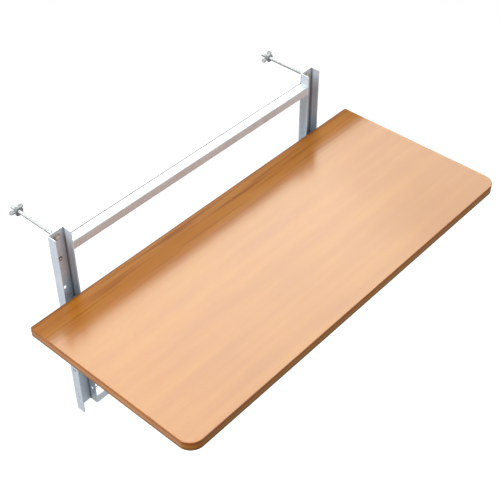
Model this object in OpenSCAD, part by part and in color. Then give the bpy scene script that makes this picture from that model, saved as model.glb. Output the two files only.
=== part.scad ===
// Balcony railing table: a folding board on two channel uprights, held by
// a fold-away prop and hung on a railing by two long bolts with wing nuts.
// Millimetres, +X along the board, +Y toward the railing, +Z up.
// The origin is the centre of the upper cross rail's rear face.

/* [Board] */
// Length of the board along X
board_l = 800; // [600:10:1000]
// Depth of the board from its back edge to its front edge
board_w = 350; // [300:5:400]
// Thickness of the board
board_t = 18; // [15:1:25]
// Radius of the two front corners
board_corner_r = 25; // [10:1:40]
// Radius of the two back corners
board_back_r = 3; // [1:0.5:8]
// Gap between the board's back edge and the uprights
board_gap = 8; // [6:0.5:12]

/* [Uprights] */
// Height of each channel upright
upright_h = 412; // [380:1:450]
// Width of the channel's web
upright_w = 32; // [28:1:40]
// Depth of the channel's flanges, web included
upright_d = 20; // [18:1:26]
// Sheet thickness of the channel
sheet_t = 1.5; // [1.2:0.1:2]
// Distance from each end of the board to the upright's centre line
end_overhang = 95; // [60:5:140]
// Height of the channel above the upper rail's centre
upright_top = 29.5; // [25:0.5:40]
// Pitch of the cross holes in the flanges
hole_pitch = 75; // [70:1:80]
// Distance from the flanges' front edge to the cross holes
hole_inset = 9; // [8:0.5:11]
// Radius of the open web hole
web_hole_r = 3.5; // [2.5:0.1:4.5]
// Height of the open web hole above the board's top
web_hole_above = 1; // [0:0.5:6]
// Radius of the flanges' front corners
flange_corner_r = 3; // [1:0.5:6]

/* [Cross rails] */
// Height of each cross rail
rail_h = 18; // [15:1:22]
// Wall of each cross rail
rail_wall = 1.2; // [1:0.1:2]
// Height of the board's top below the upper rail's centre
board_drop = 92; // [85:1:100]

/* [Arms] */
// Outer width of an arm
arm_w = 25; // [22:1:27]
// Length of an arm in front of its pivot
arm_l = 330; // [280:5:345]
// Drop from the board's underside to the arm pivot
arm_drop = 12; // [11:0.5:16]
// Flange depth of the arm's slim part
arm_flange = 8; // [6:0.1:9]
// Radius of the arm's rear end
arm_end_r = 8; // [7:0.5:9]

/* [Prop] */
// Distance between arm pivots and prop pivots, in hole pitches
prop_pitches = 2; // [1:1:3]
// Side of the square prop leg
leg_side = 15; // [12:1:16]
// Wall of the prop leg
leg_wall = 1.2; // [1:0.1:2]
// Radius of the prop's crossbar
bar_r = 8; // [6:0.5:9]
// Drop of the crossbar axis below the arm pivot
bar_drop = 5.5; // [4:0.5:8]
// Radius of the rubber sleeves on the crossbar
sleeve_r = 10; // [9:0.5:11]
// Slope of the saddle's ramp in degrees
ramp_deg = 16; // [12:0.5:17]
// Distance from each arm's centre line inward to its saddle
saddle_inset = 51; // [51:1:90]

/* [Hook bolts] */
// Nominal radius of the hook bolts
rod_r = 3; // [2.5:0.5:4]
// Reach of the bolts behind the uprights
rod_reach = 109; // [90:1:140]
// Height of the bolts above the upper rail's centre
rod_z = 19; // [15:0.5:22]
// Distance from the uprights' rear to the wing nut's front face
nut_y = 90; // [30:1:95]
// Turn of the left wing nut in degrees
nut_turn_left = 12; // [0:1:90]
// Turn of the right wing nut in degrees
nut_turn_right = 33; // [0:1:90]

/* [Pads] */
// Radius of the round bumpers
bumper_r = 10; // [8:0.5:14]
// Thickness of the bumpers and of the lower pads
bumper_t = 5; // [3:0.5:8]
// Height of the bumpers below the upper rail's centre
bumper_drop = 28; // [25:1:40]

/* [Hidden] */
$fn = 48;
// how far a cut runs past the face it cuts
past = 2;
// clearances
press_gap = 0.05;
running_gap = 0.08;
face_gap = 0.3;
pilot_gap = 0.05;
screw_gap = 0.2;
// positions
hub_y = -upright_d + hole_inset;
board_top_z = -board_drop;
board_under_z = board_top_z - board_t;
arm_pivot_z = board_under_z - arm_drop;
prop_h = prop_pitches * hole_pitch;
prop_pivot_z = arm_pivot_z - prop_h;
board_back_y = -upright_d - board_gap;
board_u = hub_y - board_back_y;
upright_span = board_l - 2 * end_overhang;
upright_x = upright_span / 2;
saddle_x = upright_x - saddle_inset;
upright_z0 = upright_top - upright_h;
channel_in = upright_w / 2 - sheet_t;
bend_r = 2;
arm_hole_count = 4;
// the prop leans forward by 45 degrees
bar_u = prop_h - bar_drop;
prop_l = bar_u * sqrt(2);
leg_tip = prop_l + bar_r;
leg_inner = leg_side - 2 * leg_wall;
plug_in = 10;
plug_cap_t = 2;
spacer_r = 3.7;
sleeve_over = 2;
pin_r = 3;
pin_head_r = 4;
pin_head_t = 1.6;
pin_head_bevel = 0.9;
pin_rivet_r = 3.6;
pin_rivet_end_r = 2.4;
pivot_washer_r = 7;
arm_in = arm_w / 2 - sheet_t;
arm_top = arm_drop;
arm_low = arm_top - arm_flange;
arm_taper_u = 70;
arm_deep_u = 22;
screw_r = 1.9;
screw_head_r = 4.5;
screw_head_t = 1.6;
screw_head_bevel = 0.7;
screw_in = 12;
screw_tip_l = 3;
screw_tip_r = 0.3;
arm_tip_inset = 15;
arm_screw_u = [40, 110, 215, arm_l - arm_tip_inset];
saddle_half = 20;
saddle_lug = 14;
lug_half = 10;
lug_t = 4;
saddle_back = 19;
saddle_front = 27;
saddle_screw_r = 1.75;
saddle_head_r = 3.5;
saddle_head_t = 2;
saddle_screw_x = [-saddle_half - saddle_lug / 2, saddle_half + saddle_lug / 2];
seat_r = sleeve_r + face_gap;
ramp_u = bar_u + seat_r * sin(ramp_deg);
ramp_w = -bar_drop + seat_r * cos(ramp_deg);
ramp_end_w = ramp_w - (bar_u + saddle_front - ramp_u) * tan(ramp_deg);
bumper_screw_r = 2;
bumper_skin = 1;
bumper_tip_gap = 0.4;
bumper_head_r = 4.4;
bumper_head_bevel = 1;
bumper_head_t = 2.4;
lower_pad_w = 24;
lower_pad_h = 30;
lower_pad_rise = 8;
hex_r = 10 / 2 / cos(30);
hex_head_t = 4;
hex_nut_t = 5;
lock_washer_t = 1.2;
lock_washer_r = 6.2;
rod_chamfer = 1;
rod_tip_r = rod_r - 0.8;
clamp_washer_t = 1.4;
clamp_washer_r = 8;
nut_hub_r = 6;
nut_hub_top_r = 4.6;
nut_hub_l = 8;
wing_span = 13.5;
wing_t = 2.2;
wing_h = 11;
wing_tip_r = 3.4;
wing_root_x = 3.6;
wing_root_y = 1;
wing_root_h = 6;

steel = [0.78, 0.8, 0.82];
zinc = [0.82, 0.79, 0.66];
wood = [0.8, 0.52, 0.28];
rubber = [0.12, 0.12, 0.12];
nylon = [0.2, 0.2, 0.21];

// helpers

// a side profile (forward, up) extruded across X, centred on X
module side(width) {
  rotate([90, 0, -90])
    linear_extrude(height = width, center = true)
      children();
}

// moves a side profile's origin to an arm pivot
module at_arm(x) {
  translate([x, hub_y, arm_pivot_z])
    children();
}

// moves a side profile's origin to a prop pivot
module at_prop(x) {
  translate([x, hub_y, prop_pivot_z])
    children();
}

module rod_x(r, length) {
  rotate([0, 90, 0])
    cylinder(r = r, h = length, center = true);
}

module rod_y(r, length) {
  rotate([-90, 0, 0])
    cylinder(r = r, h = length);
}

module tube_x(r, bore, length) {
  rotate([0, 90, 0])
    difference() {
      cylinder(r = r, h = length, center = true);
      cylinder(r = bore, h = length + 2 * past, center = true);
    }
}

// board

module board_outline() {
  hull() {
    translate([-board_l / 2 + board_back_r, board_back_y - board_back_r])
      circle(r = board_back_r);
    translate([board_l / 2 - board_back_r, board_back_y - board_back_r])
      circle(r = board_back_r);
    translate([-board_l / 2 + board_corner_r, board_back_y - board_w + board_corner_r])
      circle(r = board_corner_r);
    translate([board_l / 2 - board_corner_r, board_back_y - board_w + board_corner_r])
      circle(r = board_corner_r);
  }
}

module tabletop_board() {
  color(wood)
    difference() {
      translate([0, 0, board_under_z])
        linear_extrude(height = board_t)
          board_outline();
      for (x = [-upright_x, upright_x], u = arm_screw_u)
        translate([x, hub_y - u, board_under_z - past])
          cylinder(r = screw_r + pilot_gap, h = past + screw_in + 1, $fn = 20);
      for (x = [-saddle_x, saddle_x], dx = saddle_screw_x)
        translate([x + dx, hub_y - bar_u, board_under_z - past])
          cylinder(r = saddle_screw_r + pilot_gap, h = past + screw_in + 1, $fn = 20);
    }
}

// arms under the board, each a folded channel with two cheeks at the rear

module arm_profile() {
  union() {
    circle(r = arm_end_r);
    polygon([
      [0, -arm_end_r],
      [arm_deep_u, -arm_end_r],
      [arm_taper_u, arm_low],
      [arm_l, arm_low],
      [arm_l, arm_top],
      [board_u, arm_top],
      [0, arm_end_r]
    ]);
  }
}

module arm_body(x) {
  at_arm(x)
    difference() {
      side(arm_w)
        arm_profile();
      side(2 * arm_in)
        translate([-arm_end_r - past, -arm_end_r - past])
          square([arm_end_r + arm_l + 2 * past, arm_end_r + past + arm_top - sheet_t]);
      side(2 * arm_in)
        translate([-arm_end_r - past, -arm_end_r - past])
          square([arm_end_r + past + board_u, arm_end_r + arm_top + 2 * past]);
      rod_x(pin_r + running_gap, arm_w + 2 * past);
      for (u = arm_screw_u)
        translate([0, -u, arm_top - sheet_t - past])
          cylinder(r = screw_r + screw_gap, h = sheet_t + 2 * past, $fn = 20);
    }
}

module arm_left() {
  color(steel)
    arm_body(-upright_x);
}

module arm_right() {
  color(steel)
    arm_body(upright_x);
}

module wood_screw(r, head_r, head_t, under) {
  translate([0, 0, -head_t])
    cylinder(r1 = head_r - screw_head_bevel, r2 = head_r, h = head_t, $fn = 24);
  cylinder(r = r, h = under + screw_in - screw_tip_l, $fn = 20);
  translate([0, 0, under + screw_in - screw_tip_l])
    cylinder(r1 = r, r2 = screw_tip_r, h = screw_tip_l, $fn = 20);
}

module arm_screw_row(x) {
  for (u = arm_screw_u)
    translate([x, hub_y - u, board_under_z - sheet_t])
      wood_screw(screw_r, screw_head_r, screw_head_t, sheet_t);
}

module arm_screws_left() {
  color(zinc)
    arm_screw_row(-upright_x);
}

module arm_screws_right() {
  color(zinc)
    arm_screw_row(upright_x);
}

module cross_pin(turn) {
  rotate([0, 0, turn]) {
    rod_x(pin_r, upright_w);
    translate([-upright_w / 2, 0, 0])
      rotate([0, -90, 0])
        cylinder(r1 = pin_head_r, r2 = pin_head_r - pin_head_bevel, h = pin_head_t);
    translate([upright_w / 2, 0, 0])
      rotate([0, 90, 0])
        cylinder(r1 = pin_rivet_r, r2 = pin_rivet_end_r, h = pin_head_t);
  }
}

module arm_pivot_pin_left() {
  color(zinc)
    at_arm(-upright_x)
      cross_pin(0);
}

module arm_pivot_pin_right() {
  color(zinc)
    at_arm(upright_x)
      cross_pin(180);
}

module arm_pivot_washers() {
  washer_t = channel_in - arm_w / 2 - 2 * face_gap;
  washer_x = channel_in - face_gap - washer_t / 2;
  color(nylon)
    for (x = [-upright_x, upright_x], s = [-washer_x, washer_x])
      at_arm(x + s)
        tube_x(pivot_washer_r, pin_r + press_gap, washer_t);
}

// uprights

module channel_profile() {
  difference() {
    hull() {
      translate([-upright_w / 2, -upright_d])
        square([upright_w, sheet_t]);
      translate([-upright_w / 2 + bend_r, -bend_r])
        circle(r = bend_r, $fn = 32);
      translate([upright_w / 2 - bend_r, -bend_r])
        circle(r = bend_r, $fn = 32);
    }
    translate([-channel_in, -upright_d - past])
      square([2 * channel_in, upright_d + past - sheet_t]);
  }
}

// the upright seen from the side, with its front corners rounded
module upright_outline() {
  inset_d = upright_d - flange_corner_r;
  inset_h = upright_h - 2 * flange_corner_r;
  translate([-past, upright_z0])
    square([past + inset_d, upright_h]);
  translate([-past, upright_z0 + flange_corner_r])
    square([past + upright_d, inset_h]);
  for (z = [0, inset_h])
    translate([inset_d, upright_z0 + flange_corner_r + z])
      circle(r = flange_corner_r);
}

module web_hole(r, z) {
  translate([0, -sheet_t - past, z])
    rod_y(r, sheet_t + 2 * past);
}

module upright(x) {
  translate([x, 0, 0])
    difference() {
      intersection() {
        translate([0, 0, upright_z0])
          linear_extrude(height = upright_h)
            channel_profile();
        side(upright_w + 2 * past)
          upright_outline();
      }
      for (i = [0 : arm_hole_count - 1])
        translate([0, hub_y, arm_pivot_z - i * hole_pitch])
          rod_x(pin_r + press_gap, upright_w + 2 * past);
      web_hole(rod_r + screw_gap, rod_z);
      web_hole(bumper_screw_r + screw_gap, -bumper_drop);
      web_hole(web_hole_r, web_hole_above - board_drop);
    }
}

module upright_left() {
  color(steel)
    upright(-upright_x);
}

module upright_right() {
  color(steel)
    upright(upright_x);
}

module cross_rail(z) {
  length = upright_span - upright_w;
  translate([0, -upright_d / 2, z])
    difference() {
      cube([length, upright_d, rail_h], center = true);
      cube([length + past, upright_d - 2 * rail_wall, rail_h - 2 * rail_wall], center = true);
    }
}

module upper_cross_rail() {
  color(steel)
    cross_rail(0);
}

module lower_cross_rail() {
  color(steel)
    cross_rail(upright_z0 + rail_h / 2);
}

// hook bolts, their lock nuts and their wing nuts

module hook_bolt(x) {
  translate([x, -sheet_t, rod_z]) {
    rotate([90, 0, 0])
      cylinder(r = hex_r, h = hex_head_t, $fn = 6);
    rod_y(rod_r, sheet_t + rod_reach - rod_chamfer);
    translate([0, sheet_t + rod_reach - rod_chamfer, 0])
      rotate([-90, 0, 0])
        cylinder(r1 = rod_r, r2 = rod_tip_r, h = rod_chamfer);
  }
}

module hook_bolt_left() {
  color(zinc)
    hook_bolt(-upright_x);
}

module hook_bolt_right() {
  color(zinc)
    hook_bolt(upright_x);
}

module hook_bolt_washers() {
  color(zinc)
    for (x = [-upright_x, upright_x])
      translate([x, 0, rod_z])
        difference() {
          rod_y(lock_washer_r, lock_washer_t);
          translate([0, -past, 0])
            rod_y(rod_r + press_gap, lock_washer_t + 2 * past);
        }
}

module hook_bolt_nuts() {
  color(zinc)
    for (x = [-upright_x, upright_x])
      translate([x, lock_washer_t, rod_z])
        difference() {
          rotate([-90, 0, 0])
            cylinder(r = hex_r, h = hex_nut_t, $fn = 6);
          translate([0, -past, 0])
            rod_y(rod_r + press_gap, hex_nut_t + 2 * past);
        }
}

module clamp_washer(x) {
  translate([x, nut_y - face_gap - clamp_washer_t, rod_z])
    difference() {
      rod_y(clamp_washer_r, clamp_washer_t);
      translate([0, -past, 0])
        rod_y(rod_r + running_gap, clamp_washer_t + 2 * past);
    }
}

module clamp_washer_left() {
  color(zinc)
    clamp_washer(-upright_x);
}

module clamp_washer_right() {
  color(zinc)
    clamp_washer(upright_x);
}

module wing() {
  translate([0, 0, -wing_t / 2])
    linear_extrude(height = wing_t)
      hull() {
        translate([wing_root_x, wing_root_y])
          square([1, wing_root_h]);
        translate([wing_span - wing_tip_r, wing_h - wing_tip_r])
          circle(r = wing_tip_r, $fn = 32);
      }
}

module wing_nut(x, turn) {
  translate([x, nut_y, rod_z])
    rotate([0, turn, 0])
      difference() {
        union() {
          rotate([-90, 0, 0])
            cylinder(r1 = nut_hub_r, r2 = nut_hub_top_r, h = nut_hub_l);
          wing();
          mirror([1, 0, 0])
            wing();
        }
        translate([0, -past, 0])
          rod_y(rod_r + running_gap, nut_hub_l + 2 * past);
      }
}

module wing_nut_left() {
  color(zinc)
    wing_nut(-upright_x, -nut_turn_left);
}

module wing_nut_right() {
  color(zinc)
    wing_nut(upright_x, -nut_turn_right);
}

// pads toward the railing

module bumper_pads() {
  color(rubber)
    for (x = [-upright_x, upright_x])
      translate([x, 0, -bumper_drop])
        difference() {
          rod_y(bumper_r, bumper_t);
          translate([0, -past, 0])
            rod_y(bumper_screw_r + press_gap, past + bumper_t - bumper_skin);
        }
}

module bumper_screws() {
  color(zinc)
    for (x = [-upright_x, upright_x])
      translate([x, -sheet_t, -bumper_drop]) {
        rotate([90, 0, 0])
          cylinder(r1 = bumper_head_r, r2 = bumper_head_r - bumper_head_bevel, h = bumper_head_t);
        rod_y(bumper_screw_r, sheet_t + bumper_t - bumper_skin - bumper_tip_gap);
      }
}

module lower_pads() {
  color(rubber)
    for (x = [-upright_x, upright_x])
      translate([x - lower_pad_w / 2, 0, upright_z0 + lower_pad_rise])
        cube([lower_pad_w, bumper_t, lower_pad_h]);
}

// prop: two legs and a crossbar that turn together

module prop_leg(x) {
  at_prop(x)
    difference() {
      side(leg_side)
        rotate(45) {
          circle(r = leg_side / 2);
          translate([0, -leg_side / 2])
            square([leg_tip, leg_side]);
        }
      side(leg_inner)
        rotate(45)
          translate([leg_side, -leg_inner / 2])
            square([leg_tip, leg_inner]);
      rod_x(pin_r + running_gap, leg_side + 2 * past);
    }
}

module prop_leg_left() {
  color(steel)
    prop_leg(-upright_x);
}

module prop_leg_right() {
  color(steel)
    prop_leg(upright_x);
}

module prop_crossbar() {
  color(steel)
    translate([0, hub_y - bar_u, arm_pivot_z - bar_drop])
      tube_x(bar_r, bar_r - leg_wall, upright_span - leg_side);
}

module prop_sleeves() {
  color(rubber)
    for (x = [-saddle_x, saddle_x])
      translate([x, hub_y - bar_u, arm_pivot_z - bar_drop])
        tube_x(sleeve_r, bar_r + press_gap, 2 * (saddle_half + sleeve_over));
}

module prop_leg_plugs() {
  plug_w = leg_inner - 2 * press_gap;
  color(nylon)
    for (x = [-upright_x, upright_x])
      at_prop(x) {
        side(plug_w)
          rotate(45)
            translate([leg_tip - plug_in, -plug_w / 2])
              square([plug_in + plug_cap_t / 2, plug_w]);
        side(leg_side)
          rotate(45)
            translate([leg_tip, -leg_side / 2])
              square([plug_cap_t, leg_side]);
      }
}

module prop_pivot_pin_left() {
  color(zinc)
    at_prop(-upright_x)
      cross_pin(0);
}

module prop_pivot_pin_right() {
  color(zinc)
    at_prop(upright_x)
      cross_pin(180);
}

module prop_spacer_pair(x) {
  spacer_l = channel_in - leg_side / 2 - 2 * face_gap;
  spacer_x = leg_side / 2 + face_gap + spacer_l / 2;
  for (s = [-spacer_x, spacer_x])
    at_prop(x + s)
      tube_x(spacer_r, pin_r + press_gap, spacer_l);
}

module prop_spacers_left() {
  color(nylon)
    prop_spacer_pair(-upright_x);
}

module prop_spacers_right() {
  color(nylon)
    prop_spacer_pair(upright_x);
}

// saddles that take the sleeved crossbar

module saddle(x) {
  at_arm(x)
    difference() {
      union() {
        side(2 * saddle_half)
          polygon([
            [bar_u - saddle_back, arm_top],
            [bar_u - saddle_back, -bar_drop],
            [bar_u, -bar_drop],
            [ramp_u, ramp_w],
            [bar_u + saddle_front, ramp_end_w],
            [bar_u + saddle_front, arm_top]
          ]);
        side(2 * (saddle_half + saddle_lug))
          translate([bar_u - lug_half, arm_top - lug_t])
            square([2 * lug_half, lug_t]);
      }
      side(2 * (saddle_half + past))
        translate([bar_u, -bar_drop])
          circle(r = seat_r, $fn = 64);
      for (dx = saddle_screw_x)
        translate([dx, -bar_u, arm_top - lug_t - past])
          cylinder(r = saddle_screw_r + screw_gap, h = lug_t + 2 * past, $fn = 20);
    }
}

module saddle_left() {
  color(nylon)
    saddle(-saddle_x);
}

module saddle_right() {
  color(nylon)
    saddle(saddle_x);
}

module saddle_screws() {
  color(zinc)
    for (x = [-saddle_x, saddle_x], dx = saddle_screw_x)
      translate([x + dx, hub_y - bar_u, board_under_z - lug_t])
        wood_screw(saddle_screw_r, saddle_head_r, saddle_head_t, lug_t - 2);
}

tabletop_board();
arm_left();
arm_right();
arm_screws_left();
arm_screws_right();
arm_pivot_pin_left();
arm_pivot_pin_right();
arm_pivot_washers();
upright_left();
upright_right();
upper_cross_rail();
lower_cross_rail();
hook_bolt_left();
hook_bolt_right();
hook_bolt_washers();
hook_bolt_nuts();
clamp_washer_left();
clamp_washer_right();
wing_nut_left();
wing_nut_right();
bumper_pads();
bumper_screws();
lower_pads();
prop_leg_left();
prop_leg_right();
prop_crossbar();
prop_sleeves();
prop_leg_plugs();
prop_pivot_pin_left();
prop_pivot_pin_right();
prop_spacers_left();
prop_spacers_right();
saddle_left();
saddle_right();
saddle_screws();
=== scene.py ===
import math

import bmesh
import bpy
from mathutils import Euler, Matrix, Vector


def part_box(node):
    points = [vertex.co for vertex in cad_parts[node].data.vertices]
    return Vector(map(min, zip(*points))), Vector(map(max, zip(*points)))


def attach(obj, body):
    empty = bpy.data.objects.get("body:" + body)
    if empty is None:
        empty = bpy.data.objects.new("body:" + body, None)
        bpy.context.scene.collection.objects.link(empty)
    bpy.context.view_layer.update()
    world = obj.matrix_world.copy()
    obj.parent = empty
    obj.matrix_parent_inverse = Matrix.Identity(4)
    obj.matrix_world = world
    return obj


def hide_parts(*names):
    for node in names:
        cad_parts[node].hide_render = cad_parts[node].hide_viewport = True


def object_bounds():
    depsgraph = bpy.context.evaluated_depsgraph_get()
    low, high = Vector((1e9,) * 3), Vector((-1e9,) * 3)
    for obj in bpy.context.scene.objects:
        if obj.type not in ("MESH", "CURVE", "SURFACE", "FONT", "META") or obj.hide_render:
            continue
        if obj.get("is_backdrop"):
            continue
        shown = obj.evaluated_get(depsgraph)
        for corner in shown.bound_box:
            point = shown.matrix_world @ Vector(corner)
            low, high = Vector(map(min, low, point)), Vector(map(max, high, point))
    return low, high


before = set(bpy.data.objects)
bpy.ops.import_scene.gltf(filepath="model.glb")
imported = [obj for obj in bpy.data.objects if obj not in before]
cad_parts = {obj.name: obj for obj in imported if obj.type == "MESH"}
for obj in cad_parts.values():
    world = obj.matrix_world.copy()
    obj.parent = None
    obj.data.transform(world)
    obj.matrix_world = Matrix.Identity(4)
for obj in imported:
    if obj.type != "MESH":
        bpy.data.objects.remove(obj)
cad_low, cad_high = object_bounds()

# Uprights: two channels folded from 1.5 mm steel sheet, punched for their bolts and pins and
# then galvanised. They stand against the railing, open toward the board, and carry the rest.
MM = 0.001
SHEET = 1.5 * MM
BEND_R = 2 * MM
FLANGE_CORNER_R = 3 * MM
EDGE_R = 0.3 * MM
CROSS_HOLE_R = 3.05 * MM
BOLT_HOLE_R = 3.2 * MM
BUMPER_HOLE_R = 2.2 * MM
OPEN_HOLE_R = 3.5 * MM
OPEN_HOLE_ABOVE_BOARD = 1 * MM
CROSS_HOLES = 4
CROSS_DRILL_L = 40 * MM
WEB_DRILL_L = 6 * MM
ZINC_DULL = (0.65, 0.69, 0.735)
ZINC_BRIGHT = (0.75, 0.79, 0.835)
# Painted shade: the channels' inner folds are darkened to this tone, over these widths up the flange
# and onto the web.
BEND_SHADE = (0.29, 0.31, 0.34)
SHADE_UP_FLANGE = 6 * MM
SHADE_ON_WEB = 1.5 * MM
SEAM_GAP = 0.001 * MM
SMOOTH_UP_TO = math.radians(38)
X_AXIS, Y_AXIS, Z_AXIS = Vector((1, 0, 0)), Vector((0, 1, 0)), Vector((0, 0, 1))
SIDES = ("left", "right")
channel_low, channel_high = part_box("upright_left")
channel_width = channel_high.x - channel_low.x
channel_half = channel_width / 2 - SHEET


def middle(node):
    """The centre of a CAD node's box."""
    low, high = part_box(node)
    return (low + high) / 2


def start_finish(name):
    """A new material, with its node tree, its shader and its Object coordinates."""
    finish = bpy.data.materials.new(name)
    finish.use_nodes = True
    tree = finish.node_tree
    tree.nodes.clear()
    output = tree.nodes.new("ShaderNodeOutputMaterial")
    shader = tree.nodes.new("ShaderNodeBsdfPrincipled")
    place = tree.nodes.new("ShaderNodeTexCoord")
    tree.links.new(shader.outputs["BSDF"], output.inputs["Surface"])
    return finish, tree, shader, place.outputs["Object"]


def spots(tree, place, size, stretch=(1, 1, 1), detail=3):
    """Noise with spots of that size in metres, drawn out along the axes that stretch more."""
    mapping = tree.nodes.new("ShaderNodeMapping")
    mapping.inputs["Scale"].default_value = [1 / length for length in stretch]
    noise = tree.nodes.new("ShaderNodeTexNoise")
    noise.inputs["Scale"].default_value = 1 / size
    noise.inputs["Detail"].default_value = detail
    tree.links.new(place, mapping.inputs["Vector"])
    tree.links.new(mapping.outputs["Vector"], noise.inputs["Vector"])
    return noise.outputs["Fac"]


def ramp(tree, value, *stops):
    """A colour that runs through the stops (position, colour) as the value grows."""
    node = tree.nodes.new("ShaderNodeValToRGB")
    elements = node.color_ramp.elements
    elements.remove(elements[1])
    elements[0].position = stops[0][0]
    for position, _ in stops[1:]:
        elements.new(position)
    for element, (_, colour) in zip(elements, stops):
        element.color = (*colour, 1) if hasattr(colour, "__len__") else (colour, colour, colour, 1)
    tree.links.new(value, node.inputs["Fac"])
    return node.outputs["Color"]


def raise_surface(tree, shader, height, depth, strength):
    """Fine relief of the surface, from a height between 0 and 1."""
    bump = tree.nodes.new("ShaderNodeBump")
    bump.inputs["Strength"].default_value = strength
    bump.inputs["Distance"].default_value = depth
    tree.links.new(height, bump.inputs["Height"])
    tree.links.new(bump.outputs["Normal"], shader.inputs["Normal"])


def feed(tree, socket, value):
    """Gives a socket a number, a colour or what another socket sends."""
    if isinstance(value, bpy.types.NodeSocket):
        tree.links.new(value, socket)
    else:
        socket.default_value = (*value, 1) if isinstance(value, tuple) else value


def calculate(tree, kind, first, second=0.0):
    """A maths node on two numbers or sockets."""
    node = tree.nodes.new("ShaderNodeMath")
    node.operation = kind
    feed(tree, node.inputs[0], first)
    feed(tree, node.inputs[1], second)
    return node.outputs["Value"]


def fade(tree, value, start, end, kind="SMOOTHSTEP"):
    """A number that goes from 0 to 1 as the value goes from start to end."""
    node = tree.nodes.new("ShaderNodeMapRange")
    node.interpolation_type = kind
    node.inputs["From Min"].default_value = start
    node.inputs["From Max"].default_value = end
    tree.links.new(value, node.inputs["Value"])
    return node.outputs["Result"]


def mixed(tree, share, colour, other, kind="MIX"):
    """One colour laid over another, by a share between 0 and 1."""
    node = tree.nodes.new("ShaderNodeMix")
    node.data_type = "RGBA"
    node.blend_type = kind
    feed(tree, node.inputs["Factor"], share)
    feed(tree, node.inputs["A"], colour)
    feed(tree, node.inputs["B"], other)
    return node.outputs["Result"]


def along(tree, place):
    """The three Object coordinates."""
    node = tree.nodes.new("ShaderNodeSeparateXYZ")
    tree.links.new(place, node.inputs["Vector"])
    return [node.outputs[axis] for axis in "XYZ"]


def metal(name, dull, bright, metallic, roughness, grain, relief, stain_and_shade=None):
    """Coated steel: soft patches between two tones, uneven gloss, a faint pitted relief and any painted
    shade passed in.
    """
    finish, tree, shader, place = start_finish(name)
    patches = tree.nodes.new("ShaderNodeTexVoronoi")
    patches.inputs["Scale"].default_value = 1 / grain
    tree.links.new(place, patches.inputs["Vector"])
    cloud = spots(tree, place, 12 * grain, detail=5)
    blend = mixed(tree, 0.35, cloud, patches.outputs["Color"])
    tone = ramp(tree, blend, (0.3, dull), (0.7, bright))
    if stain_and_shade:
        tone = stain_and_shade(tree, place, tone)
    tree.links.new(tone, shader.inputs["Base Color"])
    rough_low, rough_high = roughness
    tree.links.new(ramp(tree, cloud, (0.35, rough_low), (0.65, rough_high)), shader.inputs["Roughness"])
    shader.inputs["Metallic"].default_value = metallic
    raise_surface(tree, shader, spots(tree, place, grain / 4), 0.05 * MM, relief)
    return finish


def outline(shape, points, closed=False):
    """Draws a bent line through the points and returns its edges."""
    verts = [shape.verts.new(point) for point in points]
    pairs = list(zip(verts, verts[1:]))
    if closed:
        pairs.append((verts[-1], verts[0]))
    return [shape.edges.new(pair) for pair in pairs]


def bevel(shape, edges, width, segments):
    """Rounds edges over that width."""
    bmesh.ops.bevel(
        shape, geom=edges, offset=width, offset_type="OFFSET", segments=segments, profile=0.5,
        affect="EDGES", clamp_overlap=True, material=-1,
    )


def edges_along(shape, axis, where=lambda centre: True):
    """The edges that run along an axis and whose centre fits."""
    found = []
    for edge in shape.edges:
        a, b = (vert.co for vert in edge.verts)
        if abs((b - a).normalized().dot(axis)) > 0.999 and where((a + b) / 2):
            found.append(edge)
    return found


def soften(shape, width, segments=2, above=40):
    """Rounds the edges at which two faces meet at more than that many degrees."""
    limit = math.radians(above)
    shared = [edge for edge in shape.edges if len(edge.link_faces) == 2]
    bevel(shape, [edge for edge in shared if edge.calc_face_angle() > limit], width, segments)


def together(*shapes):
    """Puts several solids into one bmesh."""
    whole = bmesh.new()
    for shape in shapes:
        part = bpy.data.meshes.new("part")
        shape.to_mesh(part)
        shape.free()
        whole.from_mesh(part)
        bpy.data.meshes.remove(part)
    return whole


def peg(centre, axis, radius, length, segments=40):
    """A plain round tool, centred on a point."""
    shape = bmesh.new()
    turn = Z_AXIS.rotation_difference(axis).to_matrix().to_4x4()
    bmesh.ops.create_cone(
        shape, cap_ends=True, segments=segments, radius1=radius, radius2=radius, depth=length,
        matrix=Matrix.Translation(centre) @ turn,
    )
    return shape


def loose_object(name, shape):
    """The shape as an object at the origin."""
    mesh = bpy.data.meshes.new(name)
    bmesh.ops.recalc_face_normals(shape, faces=shape.faces)
    shape.to_mesh(mesh)
    shape.free()
    thing = bpy.data.objects.new(name, mesh)
    bpy.context.scene.collection.objects.link(thing)
    return thing


def with_modifier(shape, kind, **settings):
    """The shape after one modifier."""
    thing = loose_object("worked", shape)
    modifier = thing.modifiers.new("work", kind)
    for key, value in settings.items():
        setattr(modifier, key, value)
    modified = thing.evaluated_get(bpy.context.evaluated_depsgraph_get())
    done = bpy.data.meshes.new_from_object(modified)
    bpy.data.objects.remove(thing)
    worked = bmesh.new()
    worked.from_mesh(done)
    bpy.data.meshes.remove(done)
    return worked


def in_order(shape):
    """Sorts a shape's points and faces, since a boolean gives them in another order each run."""
    verts = sorted(shape.verts, key=lambda vert: vert.co[:])
    number = {vert: place for place, vert in enumerate(verts)}
    faces = []
    for face in shape.faces:
        row = [number[vert] for vert in face.verts]
        first = row.index(min(row))
        faces.append(row[first:] + row[:first])
    mesh = bpy.data.meshes.new("sorted")
    mesh.from_pydata([vert.co[:] for vert in verts], [], sorted(faces))
    shape.clear()
    shape.from_mesh(mesh)
    bpy.data.meshes.remove(mesh)


def cut(shape, tool, operation="DIFFERENCE"):
    """Takes the tool's solids out of the shape, or keeps only what they share."""
    cutter = loose_object("cutter", tool)
    worked = with_modifier(shape, "BOOLEAN", operation=operation, object=cutter, solver="EXACT")
    bpy.data.objects.remove(cutter)
    in_order(worked)
    bmesh.ops.remove_doubles(worked, verts=worked.verts, dist=SEAM_GAP)
    return worked


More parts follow.
